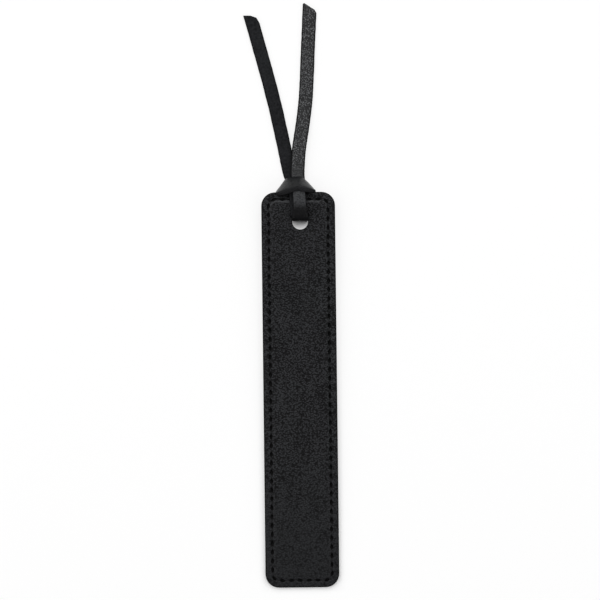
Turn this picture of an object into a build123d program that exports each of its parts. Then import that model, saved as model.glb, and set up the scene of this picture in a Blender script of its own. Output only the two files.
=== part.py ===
from build123d import *
import math
import os

# Leather bookmark: two sewn covers over a thin board, with a flat lace tied through a punched hole.
# Millimetres. X runs across the strap, Y along it towards the lace, Z out of its front face.
# The origin is the middle of the raised flat field on the back.

# Strap
strap_length = 150.0
strap_width = 28.0
corner_radius = 5.2
cover_thickness = 0.8
stiffener_thickness = 0.4
edge_round = 0.3
hole_diameter = 6.0
hole_from_top = 11.2
hole_offset = 0.7

# Raised field over the board, inside the seam
field_inset = 4.0
field_ramp = 0.6
stiffener_clearance = 0.1
seat_depth = 0.1
seat_margin = 0.9

# Seam
stitch_inset = 2.75
stitch_pitch = 3.38
thread_thickness = 0.45
stitch_sink = 0.25
thread_clearance = 0.05
stitch_leg = 0.4

# Lace and its cow hitch
lace_width = 5.0
lace_thickness = 1.2
lace_gap = 0.05
hole_clearance = 0.2
rim_bend = 0.9
edge_lead = 0.9
drop_angle = 45.0
hitch_half_width = 5.7
edge_clearance = 1.5
fold_pinch = 0.84
leg_slack = 0.25
band_slide = 0.6
band_gap = 0.1
knot_shift = -0.3
knot_rise = 3.0
hitch_end = 7.0
steps_per_span = 2
heading_step = 0.01

# Lace routes beyond the top edge, as (across, above the edge), chosen by hand
left_route = [(-1.1, 2.8), (-2.9, 7.0), (-5.6, 21.0), (-9.2, 37.0), (-13.4, 53.0), (-17.5, 68.0)]
right_route = [(0.05, 7.0), (1.5, 22.0), (3.55, 39.0), (4.6, 56.0), (5.5, 72.5)]
left_cut = (-17.2, 66.6, -12.0)
right_cut = (5.5, 70.2, -31.0)
left_start = -0.35
right_start = 0.05
right_lies_from = 18.0
right_lies_to = 34.0
bend_share = 0.45

# Legs of the hitch, from the hole up the back and over the edge to the front, chosen by hand:
# the share of the knot's half width that each station stands out, and the way the lace's width runs there
leg_shares = (0.12, 0.5, 0.84, 1.0, 1.0, 0.66)
leg_widths = (
    (0.91, -0.42, 0),
    (0.91, -0.42, 0),
    (0.9, -0.42, 0),
    (0.84, -0.5, 0.1),
    (0.62, -0.7, 0.25),
    (0.4, -0.7, 0.58),
)

# Levels and places that follow from the sizes
top_y = strap_length / 2
hole_y = top_y - hole_from_top
total_thickness = 2 * cover_thickness + stiffener_thickness
mid_z = total_thickness / 2
field_rise = stiffener_thickness / 2
border_z = mid_z + cover_thickness
lace_step = lace_thickness + lace_gap
front_z = total_thickness + lace_gap + lace_thickness / 2
back_z = -lace_gap - lace_thickness / 2
ground_z = back_z - lace_step
inner_y = hole_y + hole_diameter / 2 - hole_clearance - lace_thickness / 2
edge_y = top_y + edge_lead
split_y = top_y + hitch_end
join_y = inner_y + rim_bend + lace_thickness / 4


def inset_outline(inset):
    """Draw the strap's outline, drawn in by an inset, in the current sketch."""
    RectangleRounded(strap_width - 2 * inset, strap_length - 2 * inset, corner_radius - inset)


def needle_points():
    """Space the needle holes evenly along the seam line."""
    with BuildSketch() as seam:
        inset_outline(stitch_inset)
    line = seam.sketch.face().outer_wire()
    count = round(line.length / stitch_pitch)
    return [line.position_at(index / count) for index in range(count)]


needles = needle_points()
stitches = list(zip(needles, needles[1:] + needles[:1]))


def seam_turn(index):
    """Angle in degrees by which the seam turns at one needle hole."""
    before = needles[index] - needles[index - 1]
    after = needles[(index + 1) % len(needles)] - needles[index]
    return before.get_angle(after)


def end_mitre(index):
    """Shorten a stitch at a needle hole where the seam turns, so that it clears the next one."""
    return thread_thickness / 2 * math.tan(math.radians(seam_turn(index)) / 2)


seam_corners = [point for index, point in enumerate(needles) if seam_turn(index) > 0.01]

# Front cover: a border sewn down flat, a field raised over the board, the hole, the seam's groove and slits
groove_width = thread_thickness + 2 * thread_clearance
slit_length = stitch_leg + 2 * thread_clearance
with BuildPart() as front_cover:
    with BuildSketch(Plane.XY.offset(mid_z)):
        inset_outline(0)
    extrude(amount=cover_thickness)
    fillet(front_cover.faces().sort_by(Axis.Z)[-1].edges(), edge_round)
    with BuildSketch(Plane.XY.offset(border_z)):
        inset_outline(field_inset - field_ramp)
    with BuildSketch(Plane.XY.offset(border_z + field_rise)):
        inset_outline(field_inset)
    loft(ruled=True)
    with BuildSketch(Plane.XY.offset(mid_z)):
        inset_outline(field_inset)
    extrude(amount=field_rise, mode=Mode.SUBTRACT)
    with BuildSketch(Plane.XY.offset(border_z - stitch_sink)):
        with BuildLine():
            Polyline(*seam_corners, close=True)
        make_face()
        offset(amount=groove_width / 2, kind=Kind.INTERSECTION)
        with BuildLine():
            Polyline(*seam_corners, close=True)
        inner = make_face(mode=Mode.PRIVATE)
        offset(inner, amount=-groove_width / 2, kind=Kind.INTERSECTION, mode=Mode.SUBTRACT)
    extrude(amount=stitch_sink + field_rise, mode=Mode.SUBTRACT)
    with BuildSketch(Plane.XY.offset(mid_z)):
        for index, (start, end) in enumerate(stitches):
            heading = math.degrees(math.atan2(end.Y - start.Y, end.X - start.X))
            with Locations(Location(start, (0, 0, heading))):
                Rectangle(slit_length + end_mitre(index), groove_width, align=(Align.MIN, Align.CENTER))
    extrude(amount=cover_thickness, mode=Mode.SUBTRACT)
    with BuildSketch(Plane.XY.offset(total_thickness - seat_depth)):
        with BuildLine():
            low = lace_width / 2 + seat_margin
            high = low + (hole_from_top - field_inset) / 2
            Polyline(
                (hole_offset - low, hole_y),
                (hole_offset + low, hole_y),
                (hole_offset + high, top_y - field_inset + field_ramp),
                (hole_offset - high, top_y - field_inset + field_ramp),
                close=True,
            )
        make_face()
    extrude(amount=seat_depth, mode=Mode.SUBTRACT)
    with Locations((hole_offset, hole_y, mid_z)):
        Cylinder(hole_diameter / 2, 2 * total_thickness, mode=Mode.SUBTRACT)
front_cover.part.label = "front_cover"

# Back cover: the same leather turned over
with BuildPart() as back_cover:
    mirror(front_cover.part, about=Plane.XY.offset(mid_z))
back_cover.part.label = "back_cover"

# Board between the covers, inside the seam
with BuildPart() as inner_stiffener:
    with BuildSketch(Plane.XY.offset(mid_z)):
        inset_outline(field_inset + stiffener_clearance)
        with Locations((hole_offset, hole_y)):
            Circle(hole_diameter / 2, mode=Mode.SUBTRACT)
    extrude(amount=stiffener_thickness / 2, both=True)
inner_stiffener.part.label = "inner_stiffener"

# Front stitches: each lies in the groove and turns down into its needle slit
with BuildPart() as needle_thread:
    thread_bottom = border_z - stitch_sink
    thread_top = thread_bottom + thread_thickness
    lock = mid_z + thread_clearance
    for index, (start, end) in enumerate(stitches):
        along = end - start
        left = end_mitre(index) + thread_clearance
        right = along.length - end_mitre((index + 1) % len(needles)) - thread_clearance
        with BuildSketch(Plane(start, x_dir=along, z_dir=along.cross(Vector(0, 0, 1)))):
            with BuildLine():
                Polyline(
                    (left, lock),
                    (left, thread_top),
                    (right, thread_top),
                    (right, thread_bottom),
                    (left + stitch_leg, thread_bottom),
                    (left + stitch_leg, lock),
                    close=True,
                )
            make_face()
    extrude(amount=thread_thickness / 2, both=True)
needle_thread.part.label = "needle_thread"

# Back stitches, locked with the front ones half way through the leather
with BuildPart() as bobbin_thread:
    mirror(needle_thread.part, about=Plane.XY.offset(mid_z))
bobbin_thread.part.label = "bobbin_thread"


def bend_radii(points):
    """Give each corner of a route the largest arc that its two runs allow."""
    radii = []
    for before, corner, after in zip(points, points[1:], points[2:]):
        first = Vector(*corner) - Vector(*before)
        second = Vector(*after) - Vector(*corner)
        half_turn = math.radians(first.get_angle(second)) / 2
        radii.append(bend_share * min(first.length, second.length) / math.tan(half_turn))
    return radii


drop = math.radians(drop_angle)
fall = front_z - ground_z
tip_y = top_y + strap_length
table_slope = 2 * lace_step / strap_length


def table_z(beyond):
    """Middle of a lace that lies on the table, at a distance beyond the top edge."""
    return ground_z - table_slope * beyond


def side_route(layer):
    """Side view of one strand as (along, height): out of the hole, over the edge, down to the table."""
    lift = layer * lace_step
    shift = lift * math.tan(drop / 2)
    hole = inner_y - lift
    route = [
        (join_y, back_z - lift),
        (hole, back_z - lift),
        (hole, front_z + lift),
        (edge_y + shift, front_z + lift),
        (edge_y + shift + fall / math.tan(drop), ground_z + lift),
    ]
    rim = rim_bend + lift
    radii = [rim, rim, rim, rim_bend + lace_step - lift]
    if layer:
        route += [(top_y + right_lies_from, ground_z + lift), (top_y + right_lies_to, table_z(right_lies_to))]
    route.append((tip_y, table_z(strap_length)))
    return route, radii + bend_radii(route[-2 - 2 * layer :])


def plan_route(start, points):
    """Plan view of one strand: from below the hole, along the lace's route."""
    return [(hole_offset + start, hole_y - hole_diameter)] + [(x, top_y + y) for x, y in points]


def strand(layer, start, points, cut):
    """One half of the lace: its plan strip cut to the thickness and bends of its side view."""
    plan = plan_route(start, points)
    side, side_radii = side_route(layer)
    cut_x, cut_y, cut_turn = cut
    with BuildPart() as half:
        with BuildSketch(Plane.XY):
            with BuildLine() as middle:
                FilletPolyline(*plan, radius=bend_radii(plan))
            trace(middle.line, line_width=lace_width)
            with Locations(Location((cut_x, top_y + cut_y), cut_turn)):
                Rectangle(4 * lace_width, 2 * lace_width, align=(Align.CENTER, Align.MIN), mode=Mode.SUBTRACT)
        extrude(amount=4 * lace_width, both=True)
        with BuildSketch(Plane.YZ):
            with BuildLine() as bends:
                FilletPolyline(*side, radius=side_radii)
            trace(bends.line, line_width=lace_thickness)
        extrude(amount=strap_width * 2, both=True, mode=Mode.INTERSECT)
    return half.part


def smooth(values, place):
    """Catmull-Rom point between the listed vectors."""
    index = min(int(place), len(values) - 2)
    u = place - index
    a, b = values[max(index - 1, 0)], values[index]
    c, d = values[index + 1], values[min(index + 2, len(values) - 1)]
    slope_b, slope_c = (c - a) / 2, (d - b) / 2
    ends = b * (2 * u**3 - 3 * u**2 + 1) + c * (3 * u**2 - 2 * u**3)
    return ends + slope_b * (u**3 - 2 * u**2 + u) + slope_c * (u**3 - u**2)


def knot_x(y):
    """Middle line of the knot, from the hole to the collar."""
    share = (y - hole_y) / (hole_from_top + knot_rise)
    return hole_offset + share * (knot_shift - hole_offset)


over = 2 * lace_step + band_gap
band_y = edge_y + band_slide * math.cos(drop) + over * math.sin(drop)
band_z = front_z - band_slide * math.sin(drop) + over * math.cos(drop)
band_across = Vector(0, -math.cos(drop), math.sin(drop))
fold_y = top_y + edge_clearance + lace_thickness / 2


def half_loop(side, layer):
    """Stations of one leg, from the hole to the front, with the directions of the lace's width."""
    low = back_z - layer * lace_step
    heights = [
        (inner_y + rim_bend, low - lace_gap),
        ((hole_y + 2 * top_y) / 3, low + (3 * layer - 2) * lace_gap),
        (top_y - lace_thickness / 2, back_z - leg_slack * (1 + layer)),
        (fold_y, back_z + lace_thickness / 4),
        (fold_y + lace_thickness, total_thickness - lace_thickness / 6),
        (band_y - lace_gap, band_z - lace_thickness / 4),
    ]
    out = [side * share * hitch_half_width for share in leg_shares]
    places = [Vector(knot_x(y) + x, y, z) for x, (y, z) in zip(out, heights)]
    widths = [Vector(side * x, y, z) for x, y, z in leg_widths]
    return places, widths


# Hitch band: the legs up the back and the bight across the front, drawn in where it folds over the edge
right_places, right_widths = half_loop(1, 1)
left_places, left_widths = half_loop(-1, 0)
loop_places = right_places + [Vector(knot_x(band_y), band_y, band_z)] + left_places[::-1]
loop_widths = right_widths + [band_across] + left_widths[::-1]
drawn_in = lace_width * fold_pinch
easing = (lace_width + drawn_in) / 2
half_spans = [Vector(span) for span in (lace_width, lace_width, easing, drawn_in, drawn_in, easing)]
loop_spans = half_spans + [Vector(lace_width)] + half_spans[::-1]
last = len(loop_places) - 1
with BuildPart() as hitch_band:
    for station in range(last * steps_per_span + 1):
        place = station / steps_per_span
        ahead = smooth(loop_places, min(place + heading_step, last))
        behind = smooth(loop_places, max(place - heading_step, 0))
        heading = (ahead - behind).normalized()
        width = smooth(loop_widths, place)
        across = (width - heading * width.dot(heading)).normalized()
        with BuildSketch(Plane(smooth(loop_places, place), x_dir=across, z_dir=heading)):
            Rectangle(smooth(loop_spans, place).X, lace_thickness)
    loft(ruled=True)
    split(bisect_by=Plane.XZ.offset(-join_y), keep=Keep.BOTTOM)
hitch_band.part.label = "hitch_band"

left_half = strand(0, left_start, left_route, left_cut)
right_half = strand(1, right_start, right_route, right_cut)
knot_top = Plane.XZ.offset(-split_y)

# Space that the strands keep clear of: the strap, apart from a round plug that turns in its hole
with BuildPart() as strap_space:
    with BuildSketch(Plane.XY.offset(-lace_gap)):
        Rectangle(strap_width + 2 * lace_gap, strap_length + 2 * lace_gap)
        with Locations((hole_offset, hole_y)):
            Circle(hole_diameter / 2 - hole_clearance, mode=Mode.SUBTRACT)
    extrude(amount=total_thickness + 2 * lace_gap)

# Strands: each half of the lace from behind the hole, over the front and down under the band
with BuildPart() as left_strand:
    add(left_half)
    split(bisect_by=knot_top, keep=Keep.TOP)
    add(strap_space.part, mode=Mode.SUBTRACT)
left_strand.part.label = "left_strand"

with BuildPart() as right_strand:
    add(right_half)
    split(bisect_by=knot_top, keep=Keep.TOP)
    add(strap_space.part, mode=Mode.SUBTRACT)
right_strand.part.label = "right_strand"

# Tails: the free ends of the lace, beyond the knot
with BuildPart() as left_tail:
    add(left_half)
    split(bisect_by=knot_top, keep=Keep.BOTTOM)
left_tail.part.label = "left_tail"

with BuildPart() as right_tail:
    add(right_half)
    split(bisect_by=knot_top, keep=Keep.BOTTOM)
right_tail.part.label = "right_tail"

for name, start, points in (("left", left_start, left_route), ("right", right_start, right_route)):
    route_radii = bend_radii(plan_route(start, points))
    print(name, "lace radii in plan", [round(radius) for radius in route_radii])

os.makedirs("parts", exist_ok=True)
strap_pieces = [front_cover, back_cover, inner_stiffener, needle_thread, bobbin_thread]
lace_pieces = [hitch_band, left_strand, right_strand, left_tail, right_tail]
for piece in strap_pieces + lace_pieces:
    export_step(piece.part, f"parts/{piece.part.label}.step")
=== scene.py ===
"""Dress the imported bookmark: a sewn leather strap with a flat lace hitched through its hole."""

import logging
import math
from dataclasses import dataclass, field
from enum import Enum, IntEnum
from typing import Callable

import bmesh
import bpy
from mathutils import Matrix, Vector


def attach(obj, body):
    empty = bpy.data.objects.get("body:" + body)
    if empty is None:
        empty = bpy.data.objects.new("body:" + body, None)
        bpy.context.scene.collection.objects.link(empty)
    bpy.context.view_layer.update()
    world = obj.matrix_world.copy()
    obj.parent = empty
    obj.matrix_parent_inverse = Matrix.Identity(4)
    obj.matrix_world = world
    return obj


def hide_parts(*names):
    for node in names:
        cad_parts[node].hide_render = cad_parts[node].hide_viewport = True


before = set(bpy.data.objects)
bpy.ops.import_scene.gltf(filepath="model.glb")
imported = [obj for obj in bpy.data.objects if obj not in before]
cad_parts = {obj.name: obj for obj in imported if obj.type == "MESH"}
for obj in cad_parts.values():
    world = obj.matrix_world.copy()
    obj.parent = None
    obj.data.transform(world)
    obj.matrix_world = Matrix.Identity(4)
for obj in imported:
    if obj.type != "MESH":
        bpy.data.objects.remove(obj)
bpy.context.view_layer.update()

LOG = logging.getLogger("bookmark")
MM = 0.001

MERGE = 0.0005 * MM
TOUCH = 0.01 * MM
LEATHER_CREASE = 38.0
LACE_CREASE = 50.0
THREAD_CREASE = 60.0

Tone = tuple[int, int, int]
Pair = tuple[float, float]
Spot = tuple[float, float, float]
Piece = bpy.types.Object
Skin = bpy.types.Material


class LaceSide(Enum):
    """Which side of the lace lies on top."""

    GRAIN = "grain"
    FLESH = "flesh"


class LacePart(IntEnum):
    """Part of the lace's surface, with the number of its material."""

    TOP = 0
    EDGE = 1
    UNDER = 2


def ink(red: int, green: int, blue: int) -> tuple[float, float, float, float]:
    """Turn a screen colour into the linear colour that a shader takes.

    Args:
        red: Red from 0 to 255.
        green: Green from 0 to 255.
        blue: Blue from 0 to 255.

    Returns:
        Linear red, green, blue and full alpha.
    """
    shares = (value / 255 for value in (red, green, blue))
    linear = [s / 12.92 if s <= 0.04045 else ((s + 0.055) / 1.055) ** 2.4 for s in shares]
    return (linear[0], linear[1], linear[2], 1.0)


class Wire:
    """A shader socket that takes part in Python expressions, each adding a Math node."""

    def __init__(self, shader: "Shader", socket: bpy.types.NodeSocket) -> None:
        """Keep the socket and the shader that it belongs to."""
        self.shader = shader
        self.socket = socket

    def _math(self, operation: str, first: object, second: object) -> "Wire":
        """Add one Math node and give its result."""
        return self.shader.node("ShaderNodeMath", {"operation": operation}, {0: first, 1: second})

    def __add__(self, other: object) -> "Wire":
        """Add a value or wire."""
        return self._math("ADD", self, other)

    def __radd__(self, other: object) -> "Wire":
        """Add to a plain number."""
        return self._math("ADD", other, self)

    def __sub__(self, other: object) -> "Wire":
        """Subtract a value or wire."""
        return self._math("SUBTRACT", self, other)

    def __rsub__(self, other: object) -> "Wire":
        """Subtract from a plain number."""
        return self._math("SUBTRACT", other, self)

    def __mul__(self, other: object) -> "Wire":
        """Multiply by a value or wire."""
        return self._math("MULTIPLY", self, other)

    def __rmul__(self, other: object) -> "Wire":
        """Multiply a plain number."""
        return self._math("MULTIPLY", other, self)


class Shader:
    """One material's node tree, built node by node."""

    def __init__(self, name: str) -> None:
        """Start an empty material.

        Args:
            name: The material's name.
        """
        self.material = bpy.data.materials.new(name)
        self.material.use_nodes = True
        self.tree = self.material.node_tree
        self.tree.nodes.clear()

    def node(self, kind: str, settings: dict, inputs: dict, output: int | str = 0) -> Wire:
        """Add a node with its settings and the values or links of its sockets.

        Args:
            kind: The node's type name.
            settings: The node's properties, which are set first.
            inputs: Socket name or number, and its value or wire.
            output: The output that is wanted.

        Returns:
            The wanted output as a wire.
        """
        made = self.tree.nodes.new(kind)
        for key, value in settings.items():
            setattr(made, key, value)
        for key, value in inputs.items():
            if isinstance(value, Wire):
                self.tree.links.new(value.socket, made.inputs[key])
            else:
                made.inputs[key].default_value = value
        return Wire(self, made.outputs[output] if made.outputs else None)

    def place(self) -> Wire:
        """Give the piece's own Object coordinates."""
        return self.node("ShaderNodeTexCoord", {}, {}, "Object")

    def noise(
        self, vector: Wire, scale: float, detail: float = 2.0, output: int | str = 0
    ) -> Wire:
        """Give smooth noise from 0 to 1 at a number of patches a metre."""
        inputs = {"Vector": vector, "Scale": scale, "Detail": detail}
        return self.node("ShaderNodeTexNoise", {}, inputs, output)

    def vector(self, operation: str, inputs: dict, output: int | str = 0) -> Wire:
        """Add one Vector Math node and give its result."""
        return self.node("ShaderNodeVectorMath", {"operation": operation}, inputs, output)

    def ease(self, value: Wire, limits: Pair, least: float = 0.0) -> Wire:
        """Ease a share from its least to 1.

        Args:
            value: A distance in metres.
            limits: Where the share starts to rise and where it is 1, in millimetres.
            least: The share before the rise.

        Returns:
            The share.
        """
        low, high = limits[0] * MM, limits[1] * MM
        return self.node(
            "ShaderNodeMapRange",
            {"interpolation_type": "SMOOTHSTEP"},
            {"Value": value, "From Min": low, "From Max": high, "To Min": least},
        )

    def along(self, place: Wire, limits: Pair, least: float = 0.0) -> Wire:
        """Ease a share from its least to 1 between two places along Y in millimetres."""
        height = self.node("ShaderNodeSeparateXYZ", {}, {"Vector": place}, "Y")
        return self.ease(height, limits, least)

    def beside(self, place: Wire, half: Pair) -> Wire:
        """Give the distance outside a rectangle about the origin.

        Args:
            place: Object coordinates.
            half: Half of the rectangle's width and length in millimetres.

        Returns:
            The distance in metres, 0 inside.
        """
        endless = 1.0
        reach = (half[0] * MM, half[1] * MM, endless)
        folded = self.vector("ABSOLUTE", {0: place})
        past = self.vector("SUBTRACT", {0: folded, 1: reach})
        outside = self.vector("MAXIMUM", {0: past, 1: (0.0, 0.0, 0.0)})
        return self.vector("LENGTH", {0: outside}, "Value")

    def blend(self, share: Wire, low: object, high: object) -> Wire:
        """Mix two colours by a share, through the sockets that a Mix node keeps for colours."""
        settings = {"data_type": "RGBA", "clamp_factor": True}
        return self.node("ShaderNodeMix", settings, {0: share, 6: low, 7: high}, 2)

    def bump(self, height: Wire, depth: float, strength: float = 1.0) -> Wire:
        """Give the normal of a surface with a height map of a depth in metres."""
        return self.node(
            "ShaderNodeBump", {}, {"Strength": strength, "Distance": depth, "Height": height}
        )

    def surface(self, **sockets: object) -> Skin:
        """Close the material with a Principled shader.

        Args:
            sockets: Socket names, with underscores for spaces, and their values or wires.

        Returns:
            The finished material.
        """
        named = {key.replace("_", " "): value for key, value in sockets.items()}
        shader = self.node("ShaderNodeBsdfPrincipled", {}, named)
        self.node("ShaderNodeOutputMaterial", {}, {"Surface": shader})
        return self.material


@dataclass(frozen=True)
class PaintedRimHighlight:
    """Painted highlight on the raised field's shoulder, where the top light would catch it,
    strongest at the head of the strap.
    """

    core: Pair = (8.8, 69.8)
    rise: Pair = (0.9, 1.5)
    fall: Pair = (2.3, 2.0)
    head: Pair = (66.5, 71.0)
    least: float = 0.06
    tone: Tone = (80, 81, 83)
    strength: float = 0.5
    highlight_breaks: float = 650.0
    break_gain: float = 3.2
    break_loss: float = 1.0

    def share(self, shader: Shader, place: Wire) -> Wire:
        """Give the share of the painted highlight's tone.

        Args:
            shader: The material's node tree.
            place: The piece's Object coordinates.

        Returns:
            The share, broken by scuffs.
        """
        out = shader.beside(place, self.core)
        line = shader.ease(out, self.rise) * shader.ease(out, self.fall)
        broken = shader.noise(place, self.highlight_breaks, 3.0) * self.break_gain - self.break_loss
        return line * shader.along(place, self.head, self.least) * broken * self.strength


@dataclass(frozen=True)
class PebbledLeather:
    """Grain side of dyed leather: pebbles with dark creases between them, with an optional painted
    highlight and painted shade.
    """

    name: str
    top: Tone
    crease: Tone
    pebbles: float
    depth: float
    roughness: float
    patchiness: float = 0.3
    cover: float = 1.6
    contrast: float = 3.6
    squat: float = 1.4
    smoothness: float = 0.2
    shine: float = 0.2
    shade: Tone = (3, 3, 4)
    painted_shade_span: Pair | None = None
    painted_shade_least: float = 0.05
    even: Pair | None = None
    even_least: float = 0.2
    even_share: float = 0.5
    rim_highlight: PaintedRimHighlight | None = None
    drift_scale: float = 0.6
    drift_reach: float = 1.1
    fine_scale: float = 2.3
    fine_swell: float = 0.3
    fine_share: float = 0.7
    patch_scale: float = 0.12
    gloss_spread: float = 0.24

    def material(self) -> Skin:
        """Build the finish.

        Returns:
            The finished material.
        """
        shader = Shader(self.name)
        place = shader.place()
        drift = shader.noise(place, self.pebbles * self.drift_scale, output="Color")
        reach = (self.drift_reach / self.pebbles,) * 3
        bent = shader.vector("MULTIPLY_ADD", {0: drift, 1: reach, 2: place})
        laid = shader.vector("MULTIPLY", {0: bent, 1: (1.0, self.squat, 1.0)})
        cells = shader.node(
            "ShaderNodeTexVoronoi",
            {"feature": "SMOOTH_F1"},
            {"Vector": laid, "Scale": self.pebbles, "Smoothness": self.smoothness},
            "Distance",
        )
        fine = shader.noise(place, self.pebbles * self.fine_scale, 3.0)
        patch = shader.noise(place, self.pebbles * self.patch_scale, 3.0)
        depth = cells * (1.0 - self.patchiness + patch * (2 * self.patchiness))
        swell = fine * self.fine_swell - depth
        share = self.cover + fine * self.fine_share - depth * self.contrast
        if self.even:
            grain = shader.along(place, self.even, self.even_least)
            share = (share - self.even_share) * grain + self.even_share
            swell = swell * grain
        colour = shader.blend(share, ink(*self.crease), ink(*self.top))
        # Painted highlight along the raised field's shoulder, lighter towards the head of the
        # strap.
        if self.rim_highlight:
            colour = shader.blend(self.rim_highlight.share(shader, place), colour, ink(*self.rim_highlight.tone))
        # Painted shade: the colour darkens along Y towards the hole, where the strand bends down
        # into it.
        if self.painted_shade_span:
            lit = shader.along(place, self.painted_shade_span, self.painted_shade_least)
            colour = shader.blend(lit, ink(*self.shade), colour)
        return shader.surface(
            Base_Color=colour,
            Roughness=self.roughness + self.gloss_spread / 2 - fine * self.gloss_spread,
            Normal=shader.bump(swell, self.depth),
            Specular_IOR_Level=self.shine,
        )


@dataclass(frozen=True)
class FleshLeather:
    """Flesh side and cut edges of leather: short matted fibres."""

    name: str
    light: Tone
    dark: Tone
    fibres: float
    depth: float
    roughness: float
    detail: float = 5.0
    cloud_scale: float = 0.08
    mat_share: float = 1.9
    cloud_share: float = 0.7
    share_loss: float = 0.8
    relief: float = 0.8
    shine: float = 0.1
    gloss_spread: float = 0.2

    def material(self) -> Skin:
        """Build the finish.

        Returns:
            The finished material.
        """
        shader = Shader(self.name)
        place = shader.place()
        mat = shader.noise(place, self.fibres, self.detail)
        cloud = shader.noise(place, self.fibres * self.cloud_scale)
        share = mat * self.mat_share + cloud * self.cloud_share - self.share_loss
        return shader.surface(
            Base_Color=shader.blend(share, ink(*self.dark), ink(*self.light)),
            Roughness=self.roughness + self.gloss_spread / 2 - mat * self.gloss_spread,
            Normal=shader.bump(mat, self.depth, self.relief),
            Specular_IOR_Level=self.shine,
        )


@dataclass(frozen=True)
class GreyBoard(FleshLeather):
    """Pressed board inside the strap, with even fibres."""

    detail: float = 4.0
    mat_share: float = 1.0
    cloud_share: float = 0.0
    share_loss: float = 0.0
    relief: float = 0.4
    shine: float = 0.5
    gloss_spread: float = -0.15


@dataclass(frozen=True)
class TwistedThread:
    """Waxed sewing thread with its twist, with painted shade where it dips into the needle holes.
    """

    name: str
    light: Tone
    dark: Tone
    twists: float
    pit_shade_tone: Tone = (2, 2, 2)
    middle: float = 1.0
    distortion: float = 1.5
    fuzz_scale: float = 3.0
    pit_shade_from: float = 0.55
    pit_shade_gain: float = 6.0
    lay_share: float = 0.7
    depth: float = 0.04 * MM
    relief: float = 0.7
    roughness: float = 0.7
    gloss_spread: float = 0.2
    shine: float = 0.12

    def material(self) -> Skin:
        """Build the finish.

        Returns:
            The finished material.
        """
        shader = Shader(self.name)
        place = shader.place()
        lay = shader.node(
            "ShaderNodeTexWave",
            {"wave_type": "BANDS", "bands_direction": "DIAGONAL"},
            {"Vector": place, "Scale": self.twists, "Distortion": self.distortion, "Detail": 1.0},
            "Fac",
        )
        fuzz = shader.noise(place, self.twists * self.fuzz_scale)
        # Painted shade: the thread turns near-black as it dips from the surface towards the strap's
        # middle, into the needle holes.
        height = shader.node("ShaderNodeSeparateXYZ", {}, {"Vector": place}, "Z")
        lift = height * (1 / MM) - self.middle
        pit_shade = (lift * lift - self.pit_shade_from) * self.pit_shade_gain
        share = lay * self.lay_share + fuzz * (1.0 - self.lay_share)
        twist = shader.blend(share, ink(*self.dark), ink(*self.light))
        return shader.surface(
            Base_Color=shader.blend(pit_shade, ink(*self.pit_shade_tone), twist),
            Roughness=self.roughness - fuzz * self.gloss_spread,
            Normal=shader.bump(lay, self.depth, self.relief),
            Specular_IOR_Level=self.shine,
        )


@dataclass(frozen=True)
class StudioFloor:
    """White table that glows to the camera, less in the hole and beside the strap's foot."""

    name: str
    shadow_share: float
    white: float = 0.96
    dim_place: Spot = (0.7, 66.5, -2.5)
    dim_reach: Pair = (2.5, 7.6)
    strap_half: Pair = (14.0, 75.0)
    contact_reach: Pair = (0.4, 2.9)
    foot_reach: Pair = (45.0, -75.0)
    foot_share: float = 0.7

    def material(self) -> Skin:
        """Build the finish.

        Returns:
            The finished material.
        """
        shader = Shader(self.name)
        camera, glossy, through = (
            shader.node("ShaderNodeLightPath", {}, {}, f"Is {ray} Ray")
            for ray in ("Camera", "Glossy", "Transmission")
        )
        matt = shader.node("ShaderNodeBsdfDiffuse", {}, {"Color": (*(self.white,) * 3, 1.0)})
        glow = shader.node("ShaderNodeEmission", {}, {"Color": ink(255, 255, 255), "Strength": 1.0})
        place = shader.place()
        dim = tuple(value * MM for value in self.dim_place)
        away = shader.vector("DISTANCE", {0: place, 1: dim}, "Value")
        beside = shader.beside(place, self.strap_half)
        near = 1.0 - shader.ease(beside, self.contact_reach)
        contact = near * shader.along(place, self.foot_reach)
        open_share = shader.ease(away, self.dim_reach) * (1.0 - contact * self.foot_share)
        seen = (camera + glossy + through) * open_share * (1.0 - self.shadow_share)
        mixed = shader.node("ShaderNodeMixShader", {}, {0: seen, 1: matt, 2: glow})
        shader.node("ShaderNodeOutputMaterial", {}, {"Surface": mixed})
        return shader.material


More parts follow.
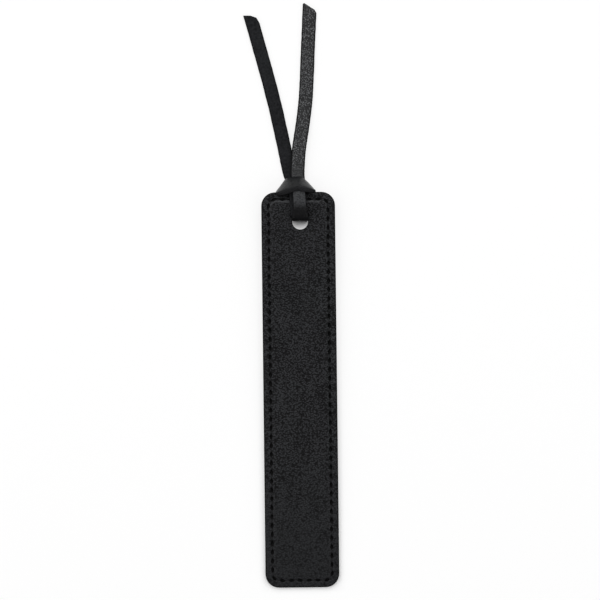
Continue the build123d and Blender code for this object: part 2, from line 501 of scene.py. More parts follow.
class Bench:
    """Small hand moves on Blender's objects that every piece uses."""

    @staticmethod
    def clear() -> None:
        """Leave edit mode and deselect everything."""
        if bpy.context.mode != "OBJECT":
            bpy.ops.object.mode_set(mode="OBJECT")
        bpy.ops.object.select_all(action="DESELECT")

    @staticmethod
    def take(piece: Piece) -> None:
        """Select one piece alone and make it active."""
        Bench.clear()
        piece.select_set(True)
        bpy.context.view_layer.objects.active = piece

    @staticmethod
    def edit(piece: Piece) -> None:
        """Open one piece in edit mode with everything selected."""
        Bench.take(piece)
        bpy.ops.object.mode_set(mode="EDIT")
        bpy.ops.mesh.select_all(action="SELECT")

    @staticmethod
    def pick_faces(piece: Piece, wanted: Callable[[bmesh.types.BMFace], bool]) -> None:
        """Select faces in edit mode by a test.

        Args:
            piece: The piece that is open in edit mode.
            wanted: The test that a face has to pass.
        """
        bpy.ops.mesh.select_mode(type="FACE")
        mesh = bmesh.from_edit_mesh(piece.data)
        for face in mesh.faces:
            face.select_set(wanted(face))
        mesh.select_flush_mode()
        bmesh.update_edit_mesh(piece.data)

    @staticmethod
    def close(piece: Piece) -> None:
        """Merge doubles, turn the faces outwards and leave edit mode.

        Args:
            piece: The piece.
        """
        Bench.edit(piece)
        bpy.ops.mesh.remove_doubles(threshold=MERGE)
        bpy.ops.mesh.normals_make_consistent(inside=False)
        Bench.clear()

    @staticmethod
    def settle(piece: Piece) -> None:
        """Move a piece's place into its mesh."""
        Bench.take(piece)
        bpy.ops.object.transform_apply(location=True, rotation=True, scale=True)
        Bench.clear()

    @staticmethod
    def copies(template: Piece, places: list[Matrix], name: str) -> Piece:
        """Copy a template to many places and join the copies, leaving the template out.

        Args:
            template: The piece that is copied.
            places: Where each copy goes.
            name: Name of the joined piece.

        Returns:
            The joined piece, with its place in its mesh.
        """
        made = []
        for place in places:
            Bench.take(template)
            bpy.ops.object.duplicate(linked=False)
            copy = bpy.context.active_object
            copy.matrix_world = place
            made.append(copy)
        Bench.clear()
        for copy in made:
            copy.select_set(True)
        bpy.context.view_layer.objects.active = made[0]
        bpy.ops.object.join()
        joined = bpy.context.active_object
        joined.name = name
        Bench.settle(joined)
        bpy.data.objects.remove(template)
        return joined

    @staticmethod
    def cut(piece: Piece, cutter: Piece) -> None:
        """Cut one piece by another.

        Args:
            piece: The piece that is cut.
            cutter: The piece that cuts it and is used up.
        """
        Bench.take(piece)
        boolean = piece.modifiers.new("cut", "BOOLEAN")
        boolean.object, boolean.operation, boolean.solver = cutter, "DIFFERENCE", "EXACT"
        boolean.material_mode = "INDEX"
        bpy.ops.object.modifier_apply(modifier=boolean.name)
        bpy.data.objects.remove(cutter)

    @staticmethod
    def smooth(piece: Piece, degrees: float) -> None:
        """Shade a piece smooth up to an angle between faces."""
        Bench.take(piece)
        bpy.ops.object.shade_smooth_by_angle(angle=math.radians(degrees))
        Bench.clear()

    @staticmethod
    def dress(piece: Piece, skins: list[Skin]) -> None:
        """Give a piece its materials in the order of its faces' numbers."""
        for skin in skins:
            piece.data.materials.append(skin)

    @staticmethod
    def hand_over(piece: Piece, body: str, node: str, slot: str) -> None:
        """Hang a finished piece on its body and hide the solid that it replaces.

        Args:
            piece: The piece.
            body: The body that it rides on.
            node: The solid that it replaces.
            slot: Not used.
        """
        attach(piece, body)
        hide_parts(node)
        LOG.info("%s: %d faces", piece.name, len(piece.data.polygons))


@dataclass
class Seam:
    """Needle holes of the stitch line, walked round the strap as the source walks them."""

    width: float = 28.0
    length: float = 150.0
    corner: float = 5.2
    inset: float = 2.75
    pitch: float = 3.38

    def needles(self) -> list[Vector]:
        """Space the needle holes evenly, downwards from the top of the left side.

        Returns:
            The needle holes in millimetres, at height 0.
        """
        half_x, half_y = self.width / 2 - self.inset, self.length / 2 - self.inset
        radius = self.corner - self.inset
        side, end, arc = 2 * (half_y - radius), 2 * (half_x - radius), radius * math.pi / 2
        runs = [(side, (0, -1)), (end, (1, 0)), (side, (0, 1)), (end, (-1, 0))]
        count = round((2 * side + 2 * end + 4 * arc) / self.pitch)
        step = (2 * side + 2 * end + 4 * arc) / count
        points = []
        for index in range(count):
            left = index * step
            spot = Vector((-half_x, half_y - radius, 0))
            for run, heading in runs:
                ahead = Vector((heading[0], heading[1], 0))
                inward = Vector((-heading[1], heading[0], 0))
                if left <= run:
                    spot = spot + ahead * left
                    break
                spot, left = spot + ahead * run, left - run
                turn = min(left, arc) / radius
                spot = spot + ahead * (radius * math.sin(turn))
                spot = spot + inward * (radius * (1 - math.cos(turn)))
                if left <= arc:
                    break
                left -= arc
            points.append(spot)
        return points


@dataclass
class Strap:
    """Two sewn covers, their stitches and the board between them."""

    seam: Seam = field(default_factory=Seam)
    middle: float = 1.0
    wall: float = 0.42
    painted: float = 0.45
    corner_segments: int = 10
    hole: Pair = (0.7, 63.8)
    hole_radius: float = 3.05
    hole_sides: int = 56
    punch_below: float = 0.5
    punch_depth: float = 1.3
    flare: tuple[Pair, ...] = ((0.1, 1.015), (0.08, 1.03), (0.06, 1.045), (0.6, 1.05))
    pit: Spot = (1.05, 0.58, 0.64)
    pit_level: float = 0.74
    pit_segments: int = 12
    pit_rings: int = 8
    thread_level: float = 0.62
    thread_radius: float = 0.3
    thread_sides: int = 8
    thread_flat: float = 0.8
    stitch_top: float = 0.03
    stitch_half: tuple[Pair, ...] = ((1.72, -0.62), (0.92, -0.58), (0.6, -0.08))
    profile: tuple[Pair, ...] = (
        (0.05, 0.58), (0.15, 0.70), (0.42, 0.78), (0.60, 0.80), (1.60, 0.81),
        (1.95, 0.80), (2.20, 0.77), (2.42, 0.73), (3.02, 0.72), (3.12, 0.76),
        (3.30, 0.84), (3.52, 0.925), (3.78, 0.98), (4.08, 1.005), (4.50, 1.015),
    )

    def blank(self) -> Piece:
        """Shape the front cover's leather from a plane by insets along its edge profile.

        Returns:
            The closed cover, not yet punched.
        """
        Bench.clear()
        bpy.ops.mesh.primitive_plane_add(size=MM, location=(0, 0, self.middle * MM))
        cover = bpy.context.active_object
        cover.scale = (self.seam.width, self.seam.length, 1.0)
        Bench.settle(cover)
        Bench.edit(cover)
        bpy.ops.mesh.bevel(
            offset=self.seam.corner * MM, segments=self.corner_segments, affect="VERTICES"
        )
        bpy.ops.mesh.select_all(action="SELECT")
        bpy.ops.mesh.extrude_region_move(TRANSFORM_OT_translate={"value": (0, 0, self.wall * MM)})
        before, level = 0.0, self.wall
        for inset, height in self.profile:
            bpy.ops.mesh.inset(
                thickness=(inset - before) * MM, depth=(height - level) * MM, use_even_offset=True
            )
            before, level = inset, height
        mesh = bmesh.from_edit_mesh(cover.data)
        open_edges = [edge for edge in mesh.edges if edge.is_boundary]
        if open_edges:
            bmesh.ops.contextual_create(mesh, geom=open_edges)
            bmesh.update_edit_mesh(cover.data)
        Bench.close(cover)
        return cover

    def punch(self) -> Piece:
        """Turn the hole's cutter, which flares where it meets the surface.

        Returns:
            The cutter.
        """
        Bench.clear()
        low = self.middle - self.punch_below
        centre = low + self.punch_depth / 2
        bpy.ops.mesh.primitive_cylinder_add(
            vertices=self.hole_sides,
            radius=self.hole_radius * MM,
            depth=self.punch_depth * MM,
            location=(self.hole[0] * MM, self.hole[1] * MM, centre * MM),
        )
        cutter = bpy.context.active_object
        Bench.settle(cutter)
        Bench.edit(cutter)
        top = (low + self.punch_depth) * MM
        Bench.pick_faces(cutter, lambda face: face.calc_center_median().z > top - TOUCH)
        for rise, spread in self.flare:
            bpy.ops.mesh.extrude_region_move(TRANSFORM_OT_translate={"value": (0, 0, rise * MM)})
            bpy.ops.transform.resize(value=(spread, spread, 1.0))
        Bench.close(cutter)
        return cutter

    def laid(self, spot: Vector, heading: Vector, level: float) -> Matrix:
        """Give the place and turn of a thing on the front, at a height above the strap's middle."""
        place = Matrix.Translation(Vector((spot.x, spot.y, self.middle + level)) * MM)
        return place @ Matrix.Rotation(math.atan2(heading.y, heading.x), 4, "Z")

    def pits(self) -> Piece:
        """Make the cutter for the dents that the stitches pull into the leather.

        Returns:
            All the dents' cutters as one piece.
        """
        Bench.clear()
        bpy.ops.mesh.primitive_uv_sphere_add(
            segments=self.pit_segments, ring_count=self.pit_rings, radius=MM
        )
        template = bpy.context.active_object
        template.scale = self.pit
        Bench.settle(template)
        needles = self.seam.needles()
        around = zip(needles[-1:] + needles, needles, needles[1:] + needles[:1])
        places = [self.laid(spot, after - before, self.pit_level) for before, spot, after in around]
        return Bench.copies(template, places, "stitch_dents")

    def stitch(self) -> Piece:
        """Draw one stitch out of its needle hole and down into the next.

        Returns:
            The template stitch, along X.
        """
        Bench.clear()
        rising = [(-x, z) for x, z in self.stitch_half]
        stations = rising + [(0.0, self.stitch_top)] + list(self.stitch_half[::-1])
        start = Vector((stations[0][0], 0, stations[0][1])) * MM
        bpy.ops.mesh.primitive_circle_add(
            vertices=self.thread_sides,
            radius=self.thread_radius * MM,
            fill_type="NGON",
            location=start,
            rotation=(0, math.pi / 2, 0),
        )
        thread = bpy.context.active_object
        Bench.settle(thread)
        Bench.edit(thread)
        for (x0, z0), (x1, z1) in zip(stations, stations[1:]):
            move = ((x1 - x0) * MM, 0, (z1 - z0) * MM)
            bpy.ops.mesh.extrude_region_move(TRANSFORM_OT_translate={"value": move})
        Bench.close(thread)
        thread.scale = (1.0, 1.0, self.thread_flat)
        Bench.settle(thread)
        return thread

    def stitches(self) -> Piece:
        """Copy the stitch to every span of the seam.

        Returns:
            The front stitches as one piece.
        """
        needles = self.seam.needles()
        places = []
        for start, end in zip(needles, needles[1:] + needles[:1]):
            along = end - start
            stretch = Matrix.Diagonal((along.length / self.seam.pitch, 1.0, 1.0, 1.0))
            places.append(self.laid((start + end) / 2, along, self.thread_level) @ stretch)
        return Bench.copies(self.stitch(), places, "front_stitches")

    def turned_over(self, piece: Piece, name: str) -> Piece:
        """Copy a front piece to the back of the strap.

        Args:
            piece: The front piece.
            name: Name of the copy.

        Returns:
            The copy, mirrored about the strap's middle.
        """
        Bench.take(piece)
        bpy.ops.object.duplicate(linked=False)
        copy = bpy.context.active_object
        copy.name = name
        mirror = Matrix.Diagonal((1, 1, -1, 1))
        copy.matrix_world = Matrix.Translation((0, 0, 2 * self.middle * MM)) @ mirror
        Bench.settle(copy)
        Bench.close(copy)
        return copy

    def build(
        self,
        leather: PebbledLeather,
        edge: FleshLeather,
        dent_shade: FleshLeather,
        thread: TwistedThread,
        board: GreyBoard,
    ) -> None:
        """Build and dress the strap's pieces.

        Args:
            leather: Finish of the covers' faces.
            edge: Finish of the covers' cut edges.
            dent_shade: Finish of the needle dents.
            thread: Finish of the stitches.
            board: Finish of the board inside.
        """
        front = self.blank()
        front.name = "front_leather"
        corner = self.seam.corner
        core_x, core_y = self.seam.width / 2 - corner, self.seam.length / 2 - corner
        # Painted shade: the top's outer shoulder, within the painted width of the edge, takes the
        # dark edge finish, darkening the rounded edge.
        for polygon in front.data.polygons:
            across, along = abs(polygon.center.x) / MM, abs(polygon.center.y) / MM
            out = math.hypot(max(across - core_x, 0.0), max(along - core_y, 0.0))
            polygon.material_index = int(out > corner - self.painted)
        # The needle dents take a near-black finish: dark punched fibre, deepened as painted shade
        # in the pits.
        skins = [leather.material(), edge.material(), dent_shade.material()]
        cutters = [self.punch(), self.pits()]
        for piece in [front] + cutters:
            Bench.dress(piece, skins)
        for index, cutter in enumerate(cutters, 1):
            for polygon in cutter.data.polygons:
                polygon.material_index = index
            Bench.cut(front, cutter)
        Bench.smooth(front, LEATHER_CREASE)
        back = self.turned_over(front, "back_leather")
        sewn = self.stitches()
        Bench.close(sewn)
        Bench.smooth(sewn, THREAD_CREASE)
        Bench.dress(sewn, [thread.material()])
        under = self.turned_over(sewn, "back_stitches")
        for piece, node, slot in (
            (front, "front_cover", "cover_leather"),
            (back, "back_cover", "cover_leather"),
            (sewn, "needle_thread", "thread"),
            (under, "bobbin_thread", "thread"),
        ):
            Bench.hand_over(piece, "strap", node, slot)
        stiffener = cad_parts["inner_stiffener"]
        stiffener.data.materials.clear()
        Bench.dress(stiffener, [board.material()])


@dataclass
class LaceSection:
    """Cross section of the flat lace: a crowned top, cut edges and a flat underside."""

    width: float = 5.22
    thickness: float = 1.2
    edge_round: float = 0.46
    crown: float = 0.14
    half_sides: int = 4
    edge_sides: int = 5

    def ring(self, span: float, cup: float, gauge: float) -> list[Pair]:
        """Give the section's points, once round.

        Args:
            span: Width of the lace here.
            cup: How far the edges rise above the middle.
            gauge: Thickness of the lace here.

        Returns:
            Pairs of (across, up) in millimetres.
        """
        half, top, bend = span / 2, gauge / 2, self.edge_round
        inset, drop = 0.3 * bend, 0.35 * bend
        shares = [index / self.half_sides for index in range(-self.half_sides, self.half_sides + 1)]
        upper = [(share * (half - bend), top - self.crown * share**4) for share in shares]
        side = [
            (half - inset, top - self.crown - drop),
            (half, top - self.crown - bend),
            (half, bend - top),
            (half - inset, inset - top),
        ]
        lower = [(share * (half - bend), -top) for share in shares[::-2]]
        mirrored = [(-across, up) for across, up in side[::-1]]
        points = upper + side + lower + mirrored
        return [(across, up + cup * (across / half) ** 2) for across, up in points]

    def part(self, index: int) -> LacePart:
        """Tell which part of the lace a side of the ring belongs to.

        Args:
            index: The side's number in the ring.

        Returns:
            The top, a cut edge or the underside.
        """
        edge = 2 * self.half_sides
        under = edge + self.edge_sides
        if index < edge:
            return LacePart.TOP
        return LacePart.UNDER if under <= index < under + self.half_sides else LacePart.EDGE


@dataclass(frozen=True)
class LaceSkins:
    """Materials that the lace's pieces share."""

    grain: Skin
    pulled: Skin
    flesh: Skin
    edge: Skin

    def stack(self, upward: LaceSide, outer: Skin) -> list[Skin]:
        """Put a piece's materials in order.

        Args:
            upward: The side of the lace that lies on top.
            outer: The material of its grain side.

        Returns:
            The materials of the top, the cut edges and the underside.
        """
        skins = [outer, self.edge, self.flesh]
        return skins if upward is LaceSide.GRAIN else skins[::-1]


@dataclass
class LaceHalf:
    """One half of the lace, from behind the hole to its cut tip."""

    name: str
    upward: LaceSide
    points: tuple[Spot, ...]
    cuts: tuple[Spot, ...]
    spans: tuple[Pair, ...]
    split: float = 79.4
    resolution: int = 14
    least_heading: float = 0.25
    cup: float = 0.12
    cup_reach: float = 20.0
    ragged_reach: float = 4.0
    edge_shift: float = 37.0
    waves: tuple[Pair, ...] = ((0.007, 0.41), (0.007, 1.93), (0.011, 5.3))
    pulled: LaceSection = field(default_factory=lambda: LaceSection(edge_round=0.2))
    loose: LaceSection = field(default_factory=LaceSection)

    def span(self, run: float) -> float:
        """Give the lace's width, eased between the listed ones.

        Args:
            run: Distance along the lace's line in millimetres.

        Returns:
            The width there in millimetres.
        """
        for (start, low), (end, high) in zip(self.spans, self.spans[1:]):
            if run <= end:
                share = max(0.0, (run - start) / (end - start))
                return low + (high - low) * share * share * (3 - 2 * share)
        return self.spans[-1][1]

    def line(self) -> list[Vector]:
        """Read the lace's smooth line from a spline with the route's points as control points.

        Returns:
            The line's points in metres.
        """
        curve = bpy.data.curves.new(self.name + "_route", "CURVE")
        curve.dimensions, curve.resolution_u = "3D", self.resolution
        spline = curve.splines.new("NURBS")
        spline.points.add(len(self.points) - 1)
        for control, spot in zip(spline.points, self.points):
            control.co = (spot[0] * MM, spot[1] * MM, spot[2] * MM, 1.0)
        spline.order_u = 3
        spline.use_endpoint_u = True
        holder = bpy.data.objects.new(self.name + "_route", curve)
        bpy.context.scene.collection.objects.link(holder)
        bpy.context.view_layer.update()
        mesh = bpy.data.meshes.new_from_object(holder)
        line = [vertex.co.copy() for vertex in mesh.vertices]
        bpy.data.objects.remove(holder)
        bpy.data.meshes.remove(mesh)
        return line

    def strip(
        self, name: str, line: list[Vector], first: int, last: int, section: LaceSection
    ) -> Piece:
        """Build one stretch of the lace along its line.

        Args:
            name: Name of the piece.
            line: The whole line.
            first: First point of the stretch.
            last: Last point of the stretch.
            section: The lace's cross section on this stretch.

        Returns:
            The closed strip.
        """
        rings = []
        run = [0.0]
        for before, after in zip(line, line[1:]):
            run.append(run[-1] + (after - before).length / MM)
        for index in range(first, last + 1):
            here = line[index]
            heading = (line[min(index + 1, len(line) - 1)] - line[max(index - 1, 0)]).normalized()
            lean = heading.x / heading.y if abs(heading.y) > self.least_heading else 0.0
            across = Vector((1.0, -lean, 0.0))
            across = (across - heading * across.dot(heading)).normalized()
            up = across.cross(heading)
            far = max(0.0, here.y / MM - self.split)
            ragged = min(1.0, far / self.ragged_reach)
            cup = self.cup * min(1.0, far / self.cup_reach)
            ring = section.ring(self.span(run[index]), cup, section.thickness)
            edges = [1 + ragged * self.waver(far + shift) for shift in (0.0, self.edge_shift)]
            rings.append([here + (across * (u * edges[u > 0]) + up * v) * MM for u, v in ring])
        return ribbon(name, rings, section)

    def waver(self, place: float) -> float:
        """Give the small unevenness of a hand-cut edge, as a share of the width."""
        return sum(size * math.sin(rate * place) for size, rate in self.waves)

    def snips(self) -> list[tuple[Vector, Vector]]:
        """Give each straight cut of the tip.

        Returns:
            A point of each cut in metres, and the way to the side that falls off.
        """
        turns = [math.radians(degrees) for _, _, degrees in self.cuts]
        spots = [Vector((x * MM, y * MM, 0)) for x, y, _ in self.cuts]
        return [(s, Vector((-math.sin(t), math.cos(t), 0))) for s, t in zip(spots, turns)]

    def trim(self, piece: Piece) -> None:
        """Cut the tip with straight snips.

        Args:
            piece: The tail.
        """
        for spot, outward in self.snips():
            Bench.edit(piece)
            bpy.ops.mesh.bisect(plane_co=spot, plane_no=outward, use_fill=True, clear_outer=True)
            Bench.close(piece)

    def build(self, skins: LaceSkins) -> None:
        """Build the strand and the tail and dress them.

        Args:
            skins: The lace's materials.
        """
        line = self.line()
        meet = next(index for index, spot in enumerate(line) if spot.y > self.split * MM)
        strand = self.strip("lace_" + self.name + "_strand", line, 0, meet, self.pulled)
        tail = self.strip("lace_" + self.name + "_tail", line, meet, len(line) - 1, self.loose)
        self.trim(tail)
        for piece, outer, node in ((strand, skins.pulled, "_strand"), (tail, skins.grain, "_tail")):
            Bench.dress(piece, skins.stack(self.upward, outer))
            Bench.smooth(piece, LACE_CREASE)
            Bench.hand_over(piece, "lace", self.name + node, "lace_leather")
        snips = self.snips()
        path = [
            spot for spot in line[meet:] if all((spot - cut).dot(out) <= 0 for cut, out in snips)
        ]
        length = sum((b - a).length for a, b in zip(path, path[1:]))
        LOG.info("%s tail: %.1f mm long", self.name, length / MM)


def ribbon(name: str, rings: list[list[Vector]], section: LaceSection) -> Piece:
    """Skin a row of section rings into a closed strip.

    Args:
        name: Name of the piece.
        rings: The rings, each with the same number of points.
        section: The section that tells top, edge and underside apart.

    Returns:
        The closed strip, with its finishes' numbers set.
    """
    count = len(rings[0])
    vertices = [tuple(spot) for ring in rings for spot in ring]
    faces, kinds = [], []
    for row in range(len(rings) - 1):
        for index in range(count):
            after = (index + 1) % count
            low, high = row * count, (row + 1) * count
            faces.append((low + index, low + after, high + after, high + index))
            kinds.append(section.part(index))
    faces.append(tuple(range(count)))
    faces.append(tuple((len(rings) - 1) * count + index for index in range(count)))
    kinds += [LacePart.EDGE] * 2
    mesh = bpy.data.meshes.new(name)
    mesh.from_pydata(vertices, [], faces)
    for polygon, kind in zip(mesh.polygons, kinds):
        polygon.material_index = kind
    piece = bpy.data.objects.new(name, mesh)
    bpy.context.scene.collection.objects.link(piece)
    Bench.close(piece)
    return piece


@dataclass
class HitchBand:
    """The bight of the lace: up the back from the hole, over the edge and across the front.

    A station is a place, the way that the width lies there, the width and the thickness.
    """

    stations: tuple[tuple[Spot, Spot, float, float], ...] = (
        ((0.72, 64.40, 0.30), (1.0, 0.0, 0.0), 5.0, 1.2),
        ((0.85, 64.45, -0.95), (0.98, -0.15, 0.0), 5.0, 1.2),
        ((1.35, 66.00, -1.93), (0.93, -0.36, 0.0), 5.0, 1.2),
        ((3.02, 71.27, -1.85), (0.91, -0.42, 0.0), 5.0, 1.2),
        ((4.30, 74.30, -1.25), (0.88, -0.47, 0.0), 4.8, 1.2),
        ((4.50, 76.40, -0.35), (0.8, -0.58, 0.1), 4.5, 1.35),
        ((4.20, 77.05, 1.75), (0.5, -0.62, 0.6), 5.5, 1.8),
        ((2.75, 77.55, 3.55), (0.33, -0.64, 0.7), 6.5, 2.1),
        ((-0.31, 78.25, 3.70), (0.0, -0.62, 0.78), 6.0, 2.25),
        ((-4.0, 77.4, 3.50), (-0.28, -0.71, 0.64), 7.1, 2.3),
        ((-5.95, 76.85, 1.75), (-0.55, -0.75, 0.35), 6.9, 1.9),
        ((-5.70, 76.50, -0.35), (-0.8, -0.58, 0.1), 4.8, 1.25),
        ((-4.70, 74.30, -0.95), (-0.88, -0.47, 0.0), 4.8, 1.2),
        ((-2.68, 71.27, -0.75), (-0.91, -0.42, 0.0), 5.0, 1.2),
        ((-0.85, 67.20, -0.68), (-0.93, -0.36, 0.0), 5.0, 1.2),
        ((-0.35, 66.15, -0.20), (-0.98, -0.15, 0.0), 5.0, 1.2),
        ((-0.20, 66.00, 0.50), (-1.0, 0.0, 0.0), 5.0, 1.2),
    )
    steps: int = 8
    glance: float = 0.02
    section: LaceSection = field(default_factory=lambda: LaceSection(edge_round=0.3))

    @staticmethod
    def between(values: list[Vector], place: float) -> Vector:
        """Give a smooth value between listed ones.

        Args:
            values: The listed vectors.
            place: Number along the list, with its share between two entries.

        Returns:
            The vector there.
        """
        index = min(int(place), len(values) - 2)
        u = place - index
        a, b = values[max(index - 1, 0)], values[index]
        c, d = values[index + 1], values[min(index + 2, len(values) - 1)]
        ends = b * (2 * u**3 - 3 * u**2 + 1) + c * (3 * u**2 - 2 * u**3)
        return ends + (c - a) * (0.5 * (u**3 - 2 * u**2 + u)) + (d - b) * (0.5 * (u**3 - u**2))

    def build(self, skins: list[Skin]) -> None:
        """Build the band and dress it.

        Args:
            skins: Finishes of the top, the cut edges and the underside.
        """
        places = [Vector(place) * MM for place, _, _, _ in self.stations]
        widths = [Vector(way) for _, way, _, _ in self.stations]
        girths = [Vector((span, gauge, 0)) for _, _, span, gauge in self.stations]
        last = len(places) - 1
        rings = []
        for step in range(last * self.steps + 1):
            place = step / self.steps
            here = self.between(places, place)
            ahead = self.between(places, min(place + self.glance, last))
            behind = self.between(places, max(place - self.glance, 0.0))
            heading = (ahead - behind).normalized()
            width = self.between(widths, place)
            across = (heading * width.dot(heading) - width).normalized()
            up = across.cross(heading)
            girth = self.between(girths, place)
            ring = self.section.ring(girth.x, 0.0, girth.y)
            rings.append([here + (across * u + up * v) * MM for u, v in ring])
        piece = ribbon("lace_hitch_band", rings, self.section)
        Bench.dress(piece, skins)
        Bench.smooth(piece, LACE_CREASE)
        Bench.hand_over(piece, "lace", "hitch_band", "lace_leather")


@dataclass(frozen=True)
class Lamp:
    """A soft square light: its name, its place in metres and its power in watts."""

    name: str
    place: Spot
    power: float


@dataclass
class Studio:
    """Camera, table and soft lights."""

    look_at: Pair = (0.3, 34.05)
    lean: float = -0.67
    view_width: float = 227.9
    distance: float = 1200.0
    sensor: float = 36.0
    clip: Pair = (0.05, 20.0)
    table_foot: Pair = (-71.0, 0.0)
    table_head: Pair = (67.0, -2.6)
    table_size: float = 6.0
    lamps: tuple[Lamp, ...] = (
        Lamp("top_light", (-0.08, 0.7, 0.95), 10.5),
        Lamp("left_light", (-0.95, -0.1, 0.75), 6.0),
        Lamp("right_light", (0.95, -0.2, 0.75), 6.2),
    )
    lamp_size: float = 1.3
    aim: Spot = (0.0, 0.03, 0.0)
    sky: float = 0.22

    def camera(self) -> None:
        """Hang the camera straight above the table.

        The lens is long, so the view is nearly parallel.
        """
        lens = bpy.data.cameras.new("camera")
        lens.sensor_width = self.sensor
        lens.angle = 2 * math.atan(self.view_width / 2 / self.distance)
        lens.clip_start, lens.clip_end = self.clip
        holder = bpy.data.objects.new("camera", lens)
        holder.location = (self.look_at[0] * MM, self.look_at[1] * MM, self.distance * MM)
        holder.rotation_euler = (0.0, 0.0, math.radians(self.lean))
        bpy.context.scene.collection.objects.link(holder)
        bpy.context.scene.camera = holder

    def table(self, finish: StudioFloor) -> None:
        """Lay the table under the strap's foot and the knot.

        Args:
            finish: The table's finish.
        """
        (foot_y, foot_z), (head_y, head_z) = self.table_foot, self.table_head
        tilt = math.atan2(head_z - foot_z, head_y - foot_y)
        Bench.clear()
        bpy.ops.mesh.primitive_plane_add(
            size=self.table_size, location=(0, foot_y * MM, foot_z * MM), rotation=(tilt, 0, 0)
        )
        floor = bpy.context.active_object
        floor.name = "table"
        Bench.settle(floor)
        Bench.dress(floor, [finish.material()])

    def hang(self, lamp: Lamp) -> None:
        """Hang one light that faces the strap's upper half.

        Args:
            lamp: The light.
        """
        light = bpy.data.lights.new(lamp.name, "AREA")
        light.size, light.energy = self.lamp_size, lamp.power
        holder = bpy.data.objects.new(lamp.name, light)
        holder.location = lamp.place
        aim = Vector(self.aim) - Vector(lamp.place)
        holder.rotation_euler = aim.to_track_quat("-Z", "Y").to_euler()
        bpy.context.scene.collection.objects.link(holder)

    def build(self, finish: StudioFloor) -> None:
        """Set up the view, the table, the lights and the surrounding light.

        Args:
            finish: The table's finish.
        """
        self.camera()
        self.table(finish)
        for lamp in self.lamps:
            self.hang(lamp)
        world = bpy.data.worlds.new("studio")
        world.use_nodes = True
        back = world.node_tree.nodes["Background"]
        back.inputs["Color"].default_value = (1.0, 1.0, 1.0, 1.0)
        back.inputs["Strength"].default_value = self.sky
        bpy.context.scene.world = world
        bpy.context.scene.view_settings.view_transform = "Standard"


# The strap's finish carries a painted highlight on the raised field's shoulder.
STRAP_LEATHER = PebbledLeather(
    "strap_leather", (42, 43, 45), (2, 2, 3), 1380.0, 0.22 * MM, 0.5, cover=2.3, contrast=4.6,
    shine=0.12, even=(-70.0, 25.0), even_least=0.25, even_share=0.5, rim_highlight=PaintedRimHighlight(),
)
LACE_GRAIN = PebbledLeather(
    "lace_grain", (92, 93, 95), (14, 15, 16), 1800.0, 0.18 * MM, 0.42, patchiness=0.1, cover=1.38,
    contrast=3.4, squat=1.05, shine=0.25, even=(83.0, 88.0), even_least=0.15, even_share=0.17,
)
LACE_PULLED = PebbledLeather(
    "lace_pulled", (56, 57, 59), (27, 28, 30), 1450.0, 0.12 * MM, 0.4, contrast=2.2, shine=0.13,
    # Painted shade on the strand where it bends down into the hole.
    painted_shade_span=(67.7, 71.8),
)
# The band's grain: smoother, as drawn lace is, and darker than the strand's as painted shade.
LACE_DRAWN_SHADED = PebbledLeather(
    "lace_drawn_shaded", (25, 26, 28), (16, 17, 18), 1250.0, 0.06 * MM, 0.32, shine=0.34
)
LACE_FLESH = FleshLeather("lace_flesh", (36, 37, 39), (12, 13, 15), 1300.0, 0.05 * MM, 0.78)
STRAP_EDGE = FleshLeather("strap_edge", (16, 16, 17), (6, 6, 7), 2200.0, 0.06 * MM, 0.7)
# Near-black needle dents: dark punched fibre, with painted shade in the pits.
NEEDLE_DENT_SHADE = FleshLeather("needle_dent_shade", (5, 5, 5), (1, 1, 1), 2200.0, 0.04 * MM, 0.85)
# The lace's cut edge in lit and shaded copies: painted light on the band's edge, painted shade on
# the strands' and tails' edges.
BAND_EDGE_LIT = FleshLeather("band_edge_lit", (42, 42, 44), (22, 22, 23), 2400.0, 0.06 * MM, 0.6)
# Painted shade on the cut edges of the strands and tails.
LACE_EDGE_SHADED = FleshLeather("lace_edge_shaded", (13, 13, 14), (4, 4, 5), 2400.0, 0.06 * MM, 0.66)
THREAD = TwistedThread("black_thread", (40, 41, 43), (16, 16, 17), 900.0)
BOARD = GreyBoard("grey_board", (74, 71, 66), (46, 44, 41), 900.0, 0.03 * MM, 0.875)
TABLE = StudioFloor("white_table", 0.27)

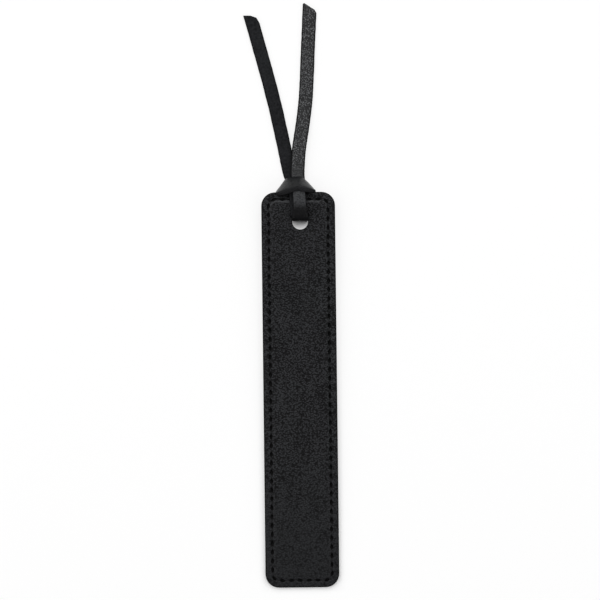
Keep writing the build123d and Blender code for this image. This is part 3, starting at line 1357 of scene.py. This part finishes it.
LEFT_POINTS = (
    (-0.2, 66.0, -0.3), (-0.2, 66.0, 0.4), (-0.22, 66.0, 2.65), (-0.40, 67.9, 2.65),
    (-0.85, 74.6, 2.65), (-0.98, 75.9, 2.65), (-1.27, 78.2, 0.35), (-2.24, 80.45, -1.95),
    (-3.08, 82.0, -2.05), (-5.74, 96.0, -2.4), (-9.2, 112.0, -2.7), (-13.4, 128.0, -3.0),
    (-17.77, 144.0, -3.32),
)
LEFT_CUTS = ((-18.6, 142.55, -0.7), (-16.15, 142.1, -20.0), (-14.35, 140.5, -60.0))
LEFT_SPANS = ((0.0, 5.22), (9.0, 5.22))
RIGHT_POINTS = (
    (0.72, 64.4, -0.9), (0.72, 64.4, 0.6), (0.74, 64.5, 3.2), (0.74, 66.9, 3.8),
    (0.66, 69.8, 4.35), (0.5, 73.0, 4.55), (0.32, 75.2, 4.2), (0.21, 76.6, 3.5),
    (0.1, 79.0, 1.3), (-0.05, 80.97, -0.65), (-0.1, 82.0, -0.7), (0.35, 90.0, -0.8),
    (1.02, 94.5, -0.95), (2.02, 100.0, -1.7), (3.2, 109.0, -2.65), (3.65, 114.0, -2.75),
    (4.47, 131.0, -3.05), (5.4, 147.8, -3.35),
)
RIGHT_CUTS = ((5.35, 145.68, -33.5), (3.0, 146.95, 30.0), (7.45, 143.87, -62.0))
RIGHT_SPANS = (
    (0.0, 5.3), (2.4, 5.4), (3.6, 6.15), (5.0, 6.1), (8.5, 4.95), (13.0, 4.85), (18.0, 5.34),
)


def main() -> None:
    """Build every piece in order.
    """
    logging.basicConfig(level=logging.INFO, format="%(name)s %(message)s")
    Studio().build(TABLE)
    skins = LaceSkins(
        grain=LACE_GRAIN.material(),
        pulled=LACE_PULLED.material(),
        flesh=LACE_FLESH.material(),
        edge=LACE_EDGE_SHADED.material(),
    )
    LaceHalf("left", LaceSide.FLESH, LEFT_POINTS, LEFT_CUTS, LEFT_SPANS).build(skins)
    LaceHalf("right", LaceSide.GRAIN, RIGHT_POINTS, RIGHT_CUTS, RIGHT_SPANS).build(skins)
    HitchBand().build([LACE_DRAWN_SHADED.material(), BAND_EDGE_LIT.material(), skins.flesh])
    Strap().build(STRAP_LEATHER, STRAP_EDGE, NEEDLE_DENT_SHADE, THREAD, BOARD)


if __name__ == "__main__":
    main()
